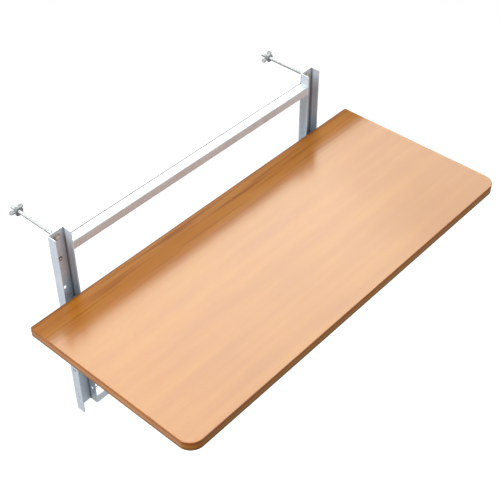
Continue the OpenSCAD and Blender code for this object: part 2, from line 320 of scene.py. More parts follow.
def finished(shape, name, body, slot, finish, *nodes):
    """A piece of the table that rides on its body, in place of its CAD nodes."""
    piece = loose_object(name, shape)
    piece.data.shade_smooth()
    piece.data.set_sharp_from_angle(angle=SMOOTH_UP_TO)
    piece.data.materials.append(finish)
    piece.modifiers.new("even_shading", "WEIGHTED_NORMAL").keep_sharp = True
    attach(piece, body)
    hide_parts(*nodes)
    return piece


def painted_bend_shade(tree, place, tone):
    """Paints shade along the two inner folds of a channel, reaching further up the flanges than onto
    the web.
    """
    x, y, _ = along(tree, place)
    aside = calculate(tree, "SUBTRACT", calculate(tree, "ABSOLUTE", x), middle("upright_right").x)
    to_flange = calculate(tree, "SUBTRACT", calculate(tree, "ABSOLUTE", aside), channel_half)
    to_web = calculate(tree, "ADD", y, SHEET)
    outward = calculate(tree, "MAXIMUM", to_flange, to_web)
    inside = calculate(tree, "LESS_THAN", outward, SHEET / 3)
    to_flange = calculate(tree, "MULTIPLY", to_flange, SHADE_UP_FLANGE / SHADE_ON_WEB)
    inward = calculate(tree, "MINIMUM", to_flange, to_web)
    near = fade(tree, inward, -SHADE_UP_FLANGE, -0.4 * SHADE_UP_FLANGE)
    return mixed(tree, calculate(tree, "MULTIPLY", inside, near), tone, BEND_SHADE)


zinc_coat = {"metallic": 0.3, "roughness": (0.4, 0.52), "grain": 3 * MM, "relief": 0.12}
galvanised = metal("galvanised_steel", ZINC_DULL, ZINC_BRIGHT, **zinc_coat)
folded = metal("galvanised_channel", ZINC_DULL, ZINC_BRIGHT, **zinc_coat, stain_and_shade=painted_bend_shade)
arm_hinge = middle("arm_pivot_pin_left")
prop_hinge = middle("prop_pivot_pin_left")
hole_pitch = (arm_hinge.z - prop_hinge.z) / 2
board_low, board_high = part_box("tabletop_board")


def channel(node):
    """An upright, drawn as one bent line, drawn up, rounded, thickened and then drilled."""
    low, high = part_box(node)
    shape = bmesh.new()
    corners = [(low.x, high.y, low.z), (high.x, high.y, low.z), (high.x, low.y, low.z)]
    bent = outline(shape, [low, *corners])
    risen = bmesh.ops.extrude_edge_only(shape, edges=bent)["geom"]
    tops = [item for item in risen if isinstance(item, bmesh.types.BMVert)]
    bmesh.ops.translate(shape, verts=tops, vec=(0, 0, high.z - low.z))
    bevel(shape, edges_along(shape, Z_AXIS, lambda centre: centre.y > -MM), BEND_R, 5)
    bmesh.ops.recalc_face_normals(shape, faces=shape.faces)
    bmesh.ops.solidify(shape, geom=shape.faces[:], thickness=SHEET)
    front = edges_along(shape, X_AXIS, lambda centre: centre.y < low.y + MM)
    bevel(shape, [edge for edge in front if edge.calc_length() < 2 * SHEET], FLANGE_CORNER_R, 6)
    x = (low.x + high.x) / 2
    tools = []
    for row in range(CROSS_HOLES):
        place = (x, arm_hinge.y, arm_hinge.z - row * hole_pitch)
        tools.append(peg(place, X_AXIS, CROSS_HOLE_R, CROSS_DRILL_L))
    for z, radius in (
        (middle("hook_bolt_left").z, BOLT_HOLE_R),
        (middle("bumper_screws").z, BUMPER_HOLE_R),
        (board_high.z + OPEN_HOLE_ABOVE_BOARD, OPEN_HOLE_R),
    ):
        tools.append(peg((x, 0, z), Y_AXIS, radius, WEB_DRILL_L))
    shape = cut(shape, together(*tools))
    soften(shape, EDGE_R)
    return shape


for side in SIDES:
    node = "upright_" + side
    finished(channel(node), side + "_channel_upright", "frame", "frame_steel", folded, node)

# Cross rails: two rectangular steel tubes between the uprights, the same depth as the channels.
# A fillet weld closes each end against a flange before the frame is galvanised.
RAIL_CORNER_R = 1.8 * MM
BEAD_R = 1.1 * MM
BEAD_STEP = 1.3 * MM
BEAD_SHORT = 2 * MM
BEAD_SUNK = 0.6 * BEAD_R
# Painted shade: the tubes' long back corners are darkened to a near black over this width.
CORNER_SHADE_W = 4.2 * MM
CORNER_SHADE = (0.06, 0.06, 0.065)
TUBE_DULL = (0.75, 0.8, 0.83)
TUBE_BRIGHT = (0.84, 0.88, 0.9)


def block(low, high):
    """A box between two corners."""
    shape = bmesh.new()
    low, high = Vector(low), Vector(high)
    place = Matrix.Translation((low + high) / 2) @ Matrix.Diagonal((*(high - low), 1))
    bmesh.ops.create_cube(shape, size=1, matrix=place)
    return shape


def drop(drops, place):
    """Adds one drop of weld."""
    place = Matrix.Translation(place)
    bmesh.ops.create_icosphere(drops, subdivisions=2, radius=BEAD_R, matrix=place)


def bead(start, end):
    """A weld bead of overlapping drops."""
    start, end = Vector(start), Vector(end)
    count = round((end - start).length / BEAD_STEP)
    drops = bmesh.new()
    for i in range(count + 1):
        drop(drops, start.lerp(end, i / count))
    return drops


def cross_rail(node):
    """A tube with its weld beads, but none below where it would reach out of the table's box."""
    low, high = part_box(node)
    shape = block(low, high)
    bevel(shape, edges_along(shape, X_AXIS), RAIL_CORNER_R, 5)
    levels = [high.z] if low.z - BEAD_R < cad_low.z else [low.z, high.z]
    beads = []
    for x in (low.x, high.x):
        for z in levels:
            beads.append(bead((x, low.y + BEAD_SHORT, z), (x, high.y - BEAD_SHORT, z)))
        y = low.y + BEAD_SUNK
        beads.append(bead((x, y, low.z + BEAD_SHORT), (x, y, high.z - BEAD_SHORT)))
    return together(shape, *beads)


def painted_back_corner_shade(node):
    """Paints shade along the two long back corners of a tube."""
    low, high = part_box(node)
    half = (high.z - low.z) / 2

    def stain_and_shade(tree, place, tone):
        _, y, z = along(tree, place)
        above = calculate(tree, "SUBTRACT", z, (low.z + high.z) / 2)
        in_height = fade(tree, calculate(tree, "ABSOLUTE", above), half - CORNER_SHADE_W, half)
        in_depth = fade(tree, y, high.y - CORNER_SHADE_W, high.y - 0.5 * CORNER_SHADE_W)
        return mixed(tree, calculate(tree, "MULTIPLY", in_height, in_depth), tone, CORNER_SHADE)

    return stain_and_shade


for level in ("upper", "lower"):
    node = level + "_cross_rail"
    back_shade = painted_back_corner_shade(node)
    tube_zinc = metal(level + "_tube_zinc", TUBE_DULL, TUBE_BRIGHT, **zinc_coat, stain_and_shade=back_shade)
    finished(cross_rail(node), level + "_rail_tube", "frame", "frame_steel", tube_zinc, node)

# Hook bolts: two long M6 hex bolts, threaded over their whole length and zinc plated. A washer
# and a lock nut behind each web hold them square to the uprights.
PITCH = 1 * MM
CREST = (0.44 * PITCH, 0.56 * PITCH)
THREAD_DEPTH = 0.6 * MM
STEPS_PER_TURN = 24
SPARE_TURNS = 2
TIP_CHAMFER = 0.8 * MM
ACROSS_FLATS = 10 * MM
HEX_EDGE_R = 0.12 * MM
HEAD_T = 4 * MM
ROD_R = 3 * MM
ROD_SUNK = 0.2 * MM
PLATE_EDGE = 0.15 * MM
# Painted shade: the rim of each hex head and the lower half of each thread are darkened to these tones.
HEAD_RIM = (3.1 * MM, 4.6 * MM)
HEAD_RIM_SHADE = (0.3, 0.27, 0.2)
THREAD_FROM = (0.5 * MM, 1.5 * MM)
UNDERSIDE_FROM = (-0.8 * MM, 0.6 * MM)
THREAD_SHADE = (0.09, 0.09, 0.09)


def turned(profile, base, axis, steps=48, ring=False):
    """Spins a profile of (place along the axis, radius) points into a closed solid."""
    shape = bmesh.new()
    base, axis = Vector(base), Vector(axis)
    out = axis.orthogonal().normalized()
    points = [base + axis * reach + out * radius for reach, radius in profile]
    line = outline(shape, points, closed=ring)
    bmesh.ops.spin(
        shape, geom=shape.verts[:] + line, cent=base, axis=axis, dvec=(0, 0, 0), angle=math.tau,
        steps=steps, use_merge=True, use_duplicate=False,
    )
    bmesh.ops.remove_doubles(shape, verts=shape.verts, dist=SEAM_GAP)
    bmesh.ops.recalc_face_normals(shape, faces=shape.faces)
    return shape


def rounded(length, radius, edge):
    """A turned profile of a plain pin with rounded ends."""
    slant = edge * 0.3
    return [
        (0, 0), (0, radius - edge), (slant, radius - slant), (edge, radius),
        (length - edge, radius), (length - slant, radius - slant), (length, radius - edge), (length, 0),
    ]


def ring_profile(start, end, inner, outer, edge):
    """A turned profile of a washer or tube, with its four rims broken."""
    return [
        (start, inner + edge), (start + edge, inner), (end - edge, inner), (end, inner + edge),
        (end, outer - edge), (end - edge, outer), (start + edge, outer), (start, outer - edge),
    ]


def thread(base, axis, length, radius):
    """A screw thread: one turn of its profile spun along the helix, repeated and cut square."""
    shape = bmesh.new()
    out = axis.orthogonal().normalized()
    root = radius - THREAD_DEPTH
    start = base - axis * SPARE_TURNS * PITCH
    profile = [(0, root), (CREST[0], radius), (CREST[1], radius), (PITCH, root)]
    line = outline(shape, [start + axis * reach + out * off for reach, off in profile])
    bmesh.ops.spin(
        shape, geom=shape.verts[:] + line, cent=start, axis=axis, dvec=axis * PITCH / STEPS_PER_TURN,
        angle=math.tau, steps=STEPS_PER_TURN, use_merge=False, use_duplicate=False,
    )
    turns = 1
    while turns * PITCH < length + 2 * SPARE_TURNS * PITCH:
        everything = shape.verts[:] + shape.edges[:] + shape.faces[:]
        copied = bmesh.ops.duplicate(shape, geom=everything)["geom"]
        copied = [item for item in copied if isinstance(item, bmesh.types.BMVert)]
        bmesh.ops.translate(shape, verts=copied, vec=axis * turns * PITCH)
        turns *= 2
    bmesh.ops.remove_doubles(shape, verts=shape.verts, dist=0.005 * MM)
    for place, normal in ((base, -axis), (base + axis * length, axis)):
        everything = shape.verts[:] + shape.edges[:] + shape.faces[:]
        bmesh.ops.bisect_plane(
            shape, geom=everything, dist=0.002 * MM, plane_co=place, plane_no=normal, clear_outer=True,
        )
        level = [vert for vert in shape.verts if abs((vert.co - place).dot(axis)) < 0.01 * MM]
        rim = [edge for edge in shape.edges if edge.is_boundary and set(edge.verts) <= set(level)]
        bmesh.ops.holes_fill(shape, edges=rim, sides=0)
    tip = base + axis * length
    for vert in shape.verts:
        left = (tip - vert.co).dot(axis)
        foot = tip - axis * left
        allowed = radius - TIP_CHAMFER + left
        if left < TIP_CHAMFER and (vert.co - foot).length > allowed:
            vert.co = foot + (vert.co - foot).normalized() * allowed
    return shape


def hexagon(base, axis, height, bore=None):
    """A hex head from its base up, chamfered at its top, or a nut, chamfered at both ends."""
    flat_r = ACROSS_FLATS / 2
    corner_r = flat_r / math.cos(math.pi / 6)
    prism = peg(base + axis * height / 2, axis, corner_r, height, segments=6)
    chamfer = corner_r - flat_r
    seat = [(0, 0), (0, corner_r)]
    if bore:
        seat = [(0, 0), (0, flat_r), (chamfer, corner_r)]
    top = [(height - chamfer, corner_r), (height, flat_r), (height, 0)]
    shape = cut(prism, turned(seat + top, base, axis), "INTERSECT")
    if bore:
        shape = cut(shape, peg(base + axis * height / 2, axis, bore, 2 * height, segments=32))
    soften(shape, HEX_EDGE_R, 1)
    return shape


def painted_rim_shade(node, start, end, tone):
    """Paints shade on the two screws of a node, from one radius to another round their axes."""
    def stain_and_shade(tree, place, colour):
        x, _, z = along(tree, place)
        aside = calculate(tree, "SUBTRACT", calculate(tree, "ABSOLUTE", x), middle("upright_right").x)
        above = calculate(tree, "SUBTRACT", z, middle(node).z)
        squares = [calculate(tree, "MULTIPLY", value, value) for value in (aside, above)]
        out = calculate(tree, "SQRT", calculate(tree, "ADD", *squares))
        return mixed(tree, fade(tree, out, start, end), colour, tone)

    return stain_and_shade


head_rim_shade = painted_rim_shade("hook_bolt_left", *HEAD_RIM, HEAD_RIM_SHADE)


def painted_thread_shade(tree, place, colour):
    """Paints shade on the rim of a bolt's head, and on the lower half of its thread."""
    _, y, z = along(tree, place)
    below = calculate(tree, "SUBTRACT", middle("hook_bolt_left").z, z)
    behind_head = fade(tree, y, *THREAD_FROM)
    under = calculate(tree, "MULTIPLY", behind_head, fade(tree, below, *UNDERSIDE_FROM))
    return mixed(tree, under, head_rim_shade(tree, place, colour), THREAD_SHADE)


plating = {
    "dull": (0.7, 0.7, 0.67), "bright": (0.82, 0.82, 0.79), "metallic": 0.35, "roughness": (0.26, 0.38),
    "grain": 1.5 * MM, "relief": 0.08,
}
bright_zinc = metal("bright_zinc", **plating)
bolt_zinc = metal("bolt_zinc", **plating, stain_and_shade=painted_thread_shade)
washer_low, washer_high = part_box("hook_bolt_washers")
nut_low, nut_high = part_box("hook_bolt_nuts")
plates, nuts = [], []
for side in SIDES:
    node = "hook_bolt_" + side
    low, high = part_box(node)
    on_axis = Vector((middle("upright_" + side).x, 0, middle(node).z))
    shank = on_axis + Y_AXIS * (low.y + HEAD_T - ROD_SUNK)
    shape = together(
        hexagon(on_axis + Y_AXIS * (low.y + HEAD_T), -Y_AXIS, HEAD_T),
        thread(shank, Y_AXIS, high.y - shank.y, ROD_R),
    )
    finished(shape, side + "_clamp_bolt", "frame", "bolt_steel", bolt_zinc, node)
    plate_r = (washer_high.z - washer_low.z) / 2
    plate = ring_profile(washer_low.y, washer_high.y, ROD_R, plate_r, PLATE_EDGE)
    plates.append(turned(plate, on_axis, Y_AXIS, ring=True))
    nuts.append(hexagon(on_axis + Y_AXIS * nut_low.y, Y_AXIS, nut_high.y - nut_low.y, bore=ROD_R))
finished(together(*plates), "bolt_washers", "frame", "bolt_steel", bright_zinc, "hook_bolt_washers")
finished(together(*nuts), "bolt_lock_nuts", "frame", "bolt_steel", bright_zinc, "hook_bolt_nuts")

# Wing nuts: cast steel nuts with two ears, zinc plated, spun along the bolts by hand. Each
# pushes a loose washer against the far side of the railing.
EAR_R = 4.4 * MM
EAR_OUT = 9.1 * MM
EAR_UP = 6.9 * MM
EAR_T = 2.8 * MM
EAR_ROOT = (3 * MM, 1 * MM, 7 * MM)
HUB_R = 6 * MM
HUB_TOP_R = 4.6 * MM
HUB_L = 8 * MM
HUB_PROFILE = (
    (0, 0), (0, HUB_R - 0.3 * MM), (0.4 * MM, HUB_R), (2 * MM, HUB_R), (HUB_L - 1 * MM, HUB_TOP_R),
    (HUB_L, HUB_TOP_R - 0.8 * MM), (HUB_L, 0),
)
MOUTH_R = ROD_R + 1.5 * MM
BORE_R = ROD_R + 0.05 * MM
CASTING_GRAIN = 0.3 * MM
SMOOTHINGS = 6
PLATE_PLAY = 0.08 * MM
LEFT_AT_DEGREES = {"left": 12, "right": 33}


def wing_nut():
    """A wing nut along +Y from the origin, cast in one piece and then bored."""
    casting = [turned(HUB_PROFILE, (0, 0, 0), Y_AXIS)]
    for way in (-1, 1):
        ear = bmesh.new()
        out, start, end = EAR_ROOT
        root = [(way * out, start, 0), (way * out, end, 0)]
        tip = [(way * EAR_OUT, EAR_UP + 4 * MM, 0), (way * (EAR_OUT + 2.8 * MM), EAR_UP - 3 * MM, 0)]
        web = outline(ear, [*root, *tip], closed=True)
        sheet = bmesh.ops.edgeloop_fill(ear, edges=web)["faces"]
        bmesh.ops.solidify(ear, geom=sheet, thickness=EAR_T - 0.5 * MM)
        bmesh.ops.recalc_face_normals(ear, faces=ear.faces)
        middle_z = sum(vert.co.z for vert in ear.verts) / len(ear.verts)
        bmesh.ops.translate(ear, verts=ear.verts, vec=(0, 0, -middle_z))
        casting.append(ear)
        casting.append(peg((way * EAR_OUT, EAR_UP, 0), Z_AXIS, EAR_R, EAR_T))
    shape = with_modifier(together(*casting), "REMESH", mode="VOXEL", voxel_size=CASTING_GRAIN)
    for _ in range(SMOOTHINGS):
        bmesh.ops.smooth_vert(
            shape, verts=shape.verts, factor=0.5, use_axis_x=True, use_axis_y=True, use_axis_z=True
        )
    end = HUB_L + 1 * MM
    bore = [(-1 * MM, 0), (-1 * MM, MOUTH_R), (0.6 * MM, BORE_R), (end, BORE_R), (end, 0)]
    return cut(shape, turned(bore, (0, 0, 0), Y_AXIS))


cast_zinc = metal(
    "cast_zinc", (0.26, 0.27, 0.28), (0.38, 0.39, 0.4), metallic=0.4, roughness=(0.34, 0.46),
    grain=2 * MM, relief=0.2,
)
for side in SIDES:
    node = "wing_nut_" + side
    low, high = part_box(node)
    on_axis = Vector((middle("upright_" + side).x, low.y, middle("hook_bolt_" + side).z))
    shape = wing_nut()
    turn = Matrix.Rotation(math.radians(-LEFT_AT_DEGREES[side]), 4, "Y")
    bmesh.ops.transform(shape, matrix=Matrix.Translation(on_axis) @ turn, verts=shape.verts)
    finished(shape, side + "_wing_nut", "nut_" + side, "bolt_steel", cast_zinc, node)
    node = "clamp_washer_" + side
    low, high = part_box(node)
    on_axis.y = 0
    plate = ring_profile(low.y, high.y, ROD_R + PLATE_PLAY, (high.z - low.z) / 2, 0.2 * MM)
    shape = turned(plate, on_axis, Y_AXIS, ring=True)
    finished(shape, side + "_clamp_plate", "washer_" + side, "bolt_steel", cast_zinc, node)

# Bumpers: round rubber buffers behind the webs, each held from the front by a pan head machine
# screw with a cross recess. They take the push of the railing's top rail.
BUMPER_R = 10 * MM
BUMPER_PROFILE = (
    (0, 0), (0, BUMPER_R - 0.4 * MM), (0.4 * MM, BUMPER_R), (3.4 * MM, BUMPER_R), (4.3 * MM, 9.6 * MM),
    (4.8 * MM, 8.9 * MM), (5 * MM, 8 * MM), (5 * MM, 0),
)
SCREW_HEAD_R = 4.4 * MM
SCREW_SHANK_R = 2 * MM
# Painted shade: the rims of the buffer screws' heads are darkened to this tone.
SCREW_RIM = (1.9 * MM, 3.4 * MM)
SCREW_RIM_SHADE = (0.16, 0.11, 0.08)
CROSS_W = 1 * MM


def rubbery(name, colour, roughness, relief):
    """Moulded rubber or plastic: a fine grained skin with slightly uneven tone and gloss."""
    finish, tree, shader, place = start_finish(name)
    cloud = spots(tree, place, 6 * MM, detail=6)
    light = [min(1, 1.35 * part + 0.01) for part in colour]
    tree.links.new(ramp(tree, cloud, (0.35, colour), (0.7, light)), shader.inputs["Base Color"])
    gloss = ramp(tree, cloud, (0.3, roughness - 0.06), (0.7, roughness + 0.06))
    tree.links.new(gloss, shader.inputs["Roughness"])
    raise_surface(tree, shader, spots(tree, place, 0.5 * MM), 0.08 * MM, relief)
    return finish


def screw(seat, axis, head_r, head_t, shank_r, shank_l):
    """A screw whose domed head stands off its seat along the axis, with a cross recess."""
    rim = 0.3 * head_t
    dome = [
        (0, 0), (0, head_r), (rim, head_r), (0.62 * head_t, 0.86 * head_r),
        (0.88 * head_t, 0.62 * head_r), (head_t, 0.35 * head_r), (head_t, 0),
    ]
    head = turned(dome, seat, axis, steps=40)
    across = axis.orthogonal().normalized()
    half = 0.62 * head_r
    arms = []
    for way in (across, axis.cross(across)):
        other = axis.cross(way)
        arm = block((-1, -1, -1), (1, 1, 1))
        basis = Matrix([way * half, other * CROSS_W / 2, axis * head_t * 0.55]).transposed().to_4x4()
        place = Matrix.Translation(seat + axis * head_t) @ basis
        bmesh.ops.transform(arm, matrix=place, verts=arm.verts)
        arms.append(arm)
    head = cut(cut(head, arms[0]), arms[1])
    soften(head, 0.1 * MM, 1, above=50)
    shank = turned(rounded(shank_l, shank_r, 0.4 * MM), seat, -axis, steps=24)
    return together(head, shank)


rubber = rubbery("black_rubber", (0.022, 0.022, 0.023), roughness=0.62, relief=0.35)
yellow_plating = {
    "dull": (0.6, 0.53, 0.4), "bright": (0.78, 0.71, 0.55), "metallic": 0.45, "roughness": (0.28, 0.42),
    "grain": 1.5 * MM, "relief": 0.08,
}
screw_rim_shade = painted_rim_shade("bumper_screws", *SCREW_RIM, SCREW_RIM_SHADE)
rim_shaded_zinc = metal("rim_shaded_zinc", **yellow_plating, stain_and_shade=screw_rim_shade)
screw_low, screw_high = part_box("bumper_screws")
buffers, screws = [], []
for side in SIDES:
    centre = Vector((middle("upright_" + side).x, 0, middle("bumper_pads").z))
    buffers.append(turned(BUMPER_PROFILE, centre, Y_AXIS, steps=64))
    seat = centre - Y_AXIS * SHEET
    head_t = seat.y - screw_low.y
    screws.append(screw(seat, -Y_AXIS, SCREW_HEAD_R, head_t, SCREW_SHANK_R, screw_high.y - seat.y))
finished(together(*buffers), "rubber_buffers", "frame", "pad_rubber", rubber, "bumper_pads")
finished(together(*screws), "buffer_screws", "frame", "fastener_zinc", rim_shaded_zinc, "bumper_screws")

# Lower pads: rubber blocks bonded to the webs' lower ends, grooved so that they grip the
# railing's bars.
PAD_HALF = 12 * MM
PAD_CORNER_R = 3 * MM
PAD_EDGE_R = 0.25 * MM
GROOVES = 5
GROOVE_W = 1.4 * MM
GROOVE_D = 1 * MM
pad_low, pad_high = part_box("lower_pads")
pads = []
for side in SIDES:
    x = middle("upright_" + side).x
    pad = block((x - PAD_HALF, pad_low.y, pad_low.z), (x + PAD_HALF, pad_high.y, pad_high.z))
    bevel(pad, edges_along(pad, Y_AXIS), PAD_CORNER_R, 6)
    grooves = []
    for row in range(GROOVES):
        z = pad_low.z + (row + 1) * (pad_high.z - pad_low.z) / (GROOVES + 1)
        groove_low = (x - 2 * PAD_HALF, pad_high.y - GROOVE_D, z - GROOVE_W / 2)
        grooves.append(block(groove_low, (x + 2 * PAD_HALF, pad_high.y + MM, z + GROOVE_W / 2)))
    pad = cut(pad, together(*grooves))
    soften(pad, PAD_EDGE_R, 2, above=50)
    pads.append(pad)
finished(together(*pads), "grooved_pads", "frame", "pad_rubber", rubber, "lower_pads")

# Prop: two legs of 15 mm square tube with pressed round ends, welded to a round crossbar. It
# swings down on its two riveted pins, and its plugged leg ends stay clear of the board.
LEG_SIDE = 15 * MM
LEG_LEAN = math.radians(45)
PRESSED_R = 1.3 * MM
LEG_BORE_R = 3.1 * MM
PLUG_T = 2 * MM
PLUG_SUNK = 0.3 * MM
PLUG_EDGE_R = 0.9 * MM
BAR_WALL = 1.2 * MM
WELD_DROPS = 36
WELD_IN = 0.5 * MM
bar_low, bar_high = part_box("prop_crossbar")
bar_axis = middle("prop_crossbar")
bar_r = (bar_high.z - bar_low.z) / 2
leg_way = Vector((0, -math.cos(LEG_LEAN), math.sin(LEG_LEAN)))
pivot_to_bar = Vector((0, bar_axis.y, bar_axis.z)) - Vector((0, prop_hinge.y, prop_hinge.z))
leg_length = pivot_to_bar.length + bar_r


def on_leg(shape, x):
    """Moves a shape drawn along +X from the origin to the prop's pivot, along the leg."""
    basis = Matrix([leg_way, X_AXIS.cross(leg_way), X_AXIS]).transposed().to_4x4()
    place = Matrix.Translation((x, prop_hinge.y, prop_hinge.z)) @ basis
    bmesh.ops.transform(shape, matrix=place, verts=shape.verts)
    return shape


black_nylon = rubbery("black_nylon", (0.03, 0.03, 0.032), roughness=0.45, relief=0.2)
plugs = []
for side in SIDES:
    node = "prop_leg_" + side
    x = middle("upright_" + side).x
    half = LEG_SIDE / 2
    leg = block((-half, -half, -half), (leg_length, half, half))
    bevel(leg, edges_along(leg, Z_AXIS, lambda centre: centre.x < 0), half - 0.01 * MM, 10)
    soften(leg, PRESSED_R, 3, above=60)
    leg = cut(leg, peg((0, 0, 0), Z_AXIS, LEG_BORE_R, 2 * LEG_SIDE, segments=48))
    finished(on_leg(leg, x), side + "_prop_tube", "prop", "frame_steel", galvanised, node)
    cap = block((leg_length - PLUG_SUNK, -half, -half), (leg_length + PLUG_T, half, half))
    soften(cap, PLUG_EDGE_R, 3)
    plugs.append(on_leg(cap, x))
finished(together(*plugs), "tube_plugs", "prop", "nylon_black", black_nylon, "prop_leg_plugs")
bar_length = bar_high.x - bar_low.x
bar_start = Vector((bar_low.x, bar_axis.y, bar_axis.z))
bar_wall = ring_profile(0, bar_length, bar_r - BAR_WALL, bar_r, 0.1 * MM)
bar = turned(bar_wall, bar_start, X_AXIS, ring=True)
welds = []
for x in (bar_low.x + WELD_IN, bar_high.x - WELD_IN):
    drops = bmesh.new()
    for i in range(WELD_DROPS):
        turn = math.tau * i / WELD_DROPS
        drop(drops, (x, bar_axis.y + bar_r * math.cos(turn), bar_axis.z + bar_r * math.sin(turn)))
    welds.append(drops)
finished(together(bar, *welds), "prop_bar", "prop", "frame_steel", galvanised, "prop_crossbar")

# Sleeves: two ribbed rubber tubes pushed onto the crossbar, which sit in the saddles.
SLEEVE_R = 10 * MM
SLEEVE_L = 44 * MM
SLEEVE_BORE_R = bar_r + 0.05 * MM
SLEEVE_EDGE = 0.8 * MM
RIB_STEP = 4 * MM
RIB_FOOT_R = SLEEVE_R - 0.35 * MM
saddle_x = {side: middle("saddle_" + side).x for side in SIDES}
sleeves = []
for side in SIDES:
    start = -SLEEVE_L / 2
    profile = [(start, SLEEVE_BORE_R), (start, SLEEVE_R - SLEEVE_EDGE),
               (start + 0.25 * MM, SLEEVE_R - 0.25 * MM), (start + SLEEVE_EDGE, SLEEVE_R)]
    for rib in range(1, round(SLEEVE_L / RIB_STEP)):
        at = start + rib * RIB_STEP
        profile += [(at - 0.5 * MM, SLEEVE_R), (at - 0.2 * MM, RIB_FOOT_R),
                    (at + 0.2 * MM, RIB_FOOT_R), (at + 0.5 * MM, SLEEVE_R)]
    profile += [(-start - SLEEVE_EDGE, SLEEVE_R), (-start - 0.25 * MM, SLEEVE_R - 0.25 * MM),
                (-start, SLEEVE_R - SLEEVE_EDGE), (-start, SLEEVE_BORE_R)]
    centre = Vector((saddle_x[side], bar_axis.y, bar_axis.z))
    sleeves.append(turned(profile, centre, X_AXIS, steps=56, ring=True))
finished(together(*sleeves), "ribbed_sleeves", "prop", "pad_rubber", rubber, "prop_sleeves")

# Pivot pins: riveted steel pins across each channel, with a domed factory head outside and a
# formed head inside. Natural nylon washers and spacers keep arms and legs centred on them.
PIN_R = 3 * MM
PIN_HEAD_R = 4 * MM
FORMED_R = 3.6 * MM
PIN_HEAD_T = 1.6 * MM
FACE_GAP = 0.3 * MM
RING_BORE_R = PIN_R + 0.05 * MM
RING_EDGE = 0.12 * MM


def rivet(x, hinge, outward):
    """A pin across a channel, with its domed factory head outward and its formed head inward."""
    way = X_AXIS * outward
    grip = channel_width
    h = PIN_HEAD_T
    formed = [
        (-h, 0), (-h, 0.5 * FORMED_R), (-0.8 * h, 0.8 * FORMED_R), (-0.35 * h, FORMED_R), (0, FORMED_R),
    ]
    domed = [
        (grip, PIN_HEAD_R), (grip + 0.4 * h, 0.95 * PIN_HEAD_R), (grip + 0.75 * h, 0.75 * PIN_HEAD_R),
        (grip + 0.95 * h, 0.42 * PIN_HEAD_R), (grip + h, 0),
    ]
    base = Vector((x, hinge.y, hinge.z)) - way * grip / 2
    return turned([*formed, (0, PIN_R), (grip, PIN_R), *domed], base, way)


def both_sides(x, hinge, inner_face, radius):
    """Two plastic rings on a pivot pin, one on each side of what turns on it."""
    profile = ring_profile(inner_face, channel_half - FACE_GAP, RING_BORE_R, radius, RING_EDGE)
    place = (x, hinge.y, hinge.z)
    return [turned(profile, place, X_AXIS * way, ring=True) for way in (-1, 1)]


rivet_steel = metal(
    "plated_rivets", (0.3, 0.31, 0.32), (0.44, 0.45, 0.46), metallic=0.5, roughness=(0.34, 0.46),
    grain=1.5 * MM, relief=0.1,
)
natural_nylon = rubbery("natural_nylon", (0.58, 0.56, 0.5), roughness=0.4, relief=0.12)
for side, outward in (("left", -1), ("right", 1)):
    for joint in ("arm", "prop"):
        node = joint + "_pivot_pin_" + side
        shape = rivet(middle("upright_" + side).x, middle(node), outward)
        finished(shape, side + "_" + joint + "_rivet", "frame", "fastener_zinc", rivet_steel, node)

arm_low, arm_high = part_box("arm_left")
arm_half = (arm_high.x - arm_low.x) / 2
washer_low, washer_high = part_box("arm_pivot_washers")
washers = []
for side in SIDES:
    x = middle("upright_" + side).x
    washers += both_sides(x, arm_hinge, arm_half + FACE_GAP, (washer_high.z - washer_low.z) / 2)
    node = "prop_spacers_" + side
    spacer_low, spacer_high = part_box(node)
    spacers = both_sides(x, prop_hinge, LEG_SIDE / 2 + FACE_GAP, (spacer_high.z - spacer_low.z) / 2)
    name = side + "_spacer_tubes"
    finished(together(*spacers), name, "frame", "nylon_natural", natural_nylon, node)
node = "arm_pivot_washers"
finished(together(*washers), "hinge_washers", "frame", "nylon_natural", natural_nylon, node)

# Board: a solid softwood top, 18 mm thick, with a rounded rim and rounded corners at the front.
# It is stained orange-brown and finished with clear lacquer.
FRONT_R = 25 * MM
BACK_R = 3 * MM
RIM_R = 1.3 * MM
END_GRAIN_DEPTH = 1.2 * MM
PITH_Y = -165 * MM
PITH_BELOW = 75 * MM
PITH_LEANS = (0, math.radians(4.5), math.radians(0.6))
SWAYS_A_METRE = 3.5
SWAY = (0.0, 0.05, 0.05)
RING_W = 5 * MM
RING_TONES = ((0.0, 0.2), (0.7, 0.5), (0.92, 1.0), (1.0, 0.25))
RING_SHARE = 0.04
STREAK_SHARE = 0.4
CLOUD_SHARE = 0.4
FIBRE_SHARE = 0.16
STAIN_PALE = (0.53, 0.187, 0.009)
STAIN_MID = (0.465, 0.145, 0.004)
STAIN_DEEP = (0.395, 0.108, 0.003)
BROWN_LINE = (0.33, 0.085, 0.002)
# Painted shade: the board's back rim is darkened to this tone over this width.
BACK_RIM_SHADE = (0.16, 0.045, 0.003)
BACK_RIM_SHADE_W = 2.6 * MM
LINES_FROM = -115 * MM
LINES_FULL = -45 * MM
LINE_SHARPNESS = (0.47, 0.68)
END_PALE = (0.66, 0.28, 0.1)
END_DEEP = (0.48, 0.185, 0.06)
COAT_BY_HEIGHT = ((0.0, 1.0), (0.04, 0.4), (0.93, 0.4), (0.99, 1.0))
COLD_EDGE = (0.55, 0.6, 0.7)
COLD_SIDE = (0.6, 0.65, 0.75)
WARM_SIDE = (0.72, 0.58, 0.4)
SHADE_BY_HEIGHT = (
    (0.0, 1.0), (0.02, COLD_EDGE), (0.2, COLD_SIDE), (0.42, 1.0), (0.6, 1.0), (0.78, WARM_SIDE),
    (0.95, WARM_SIDE), (0.99, 1.0),
)


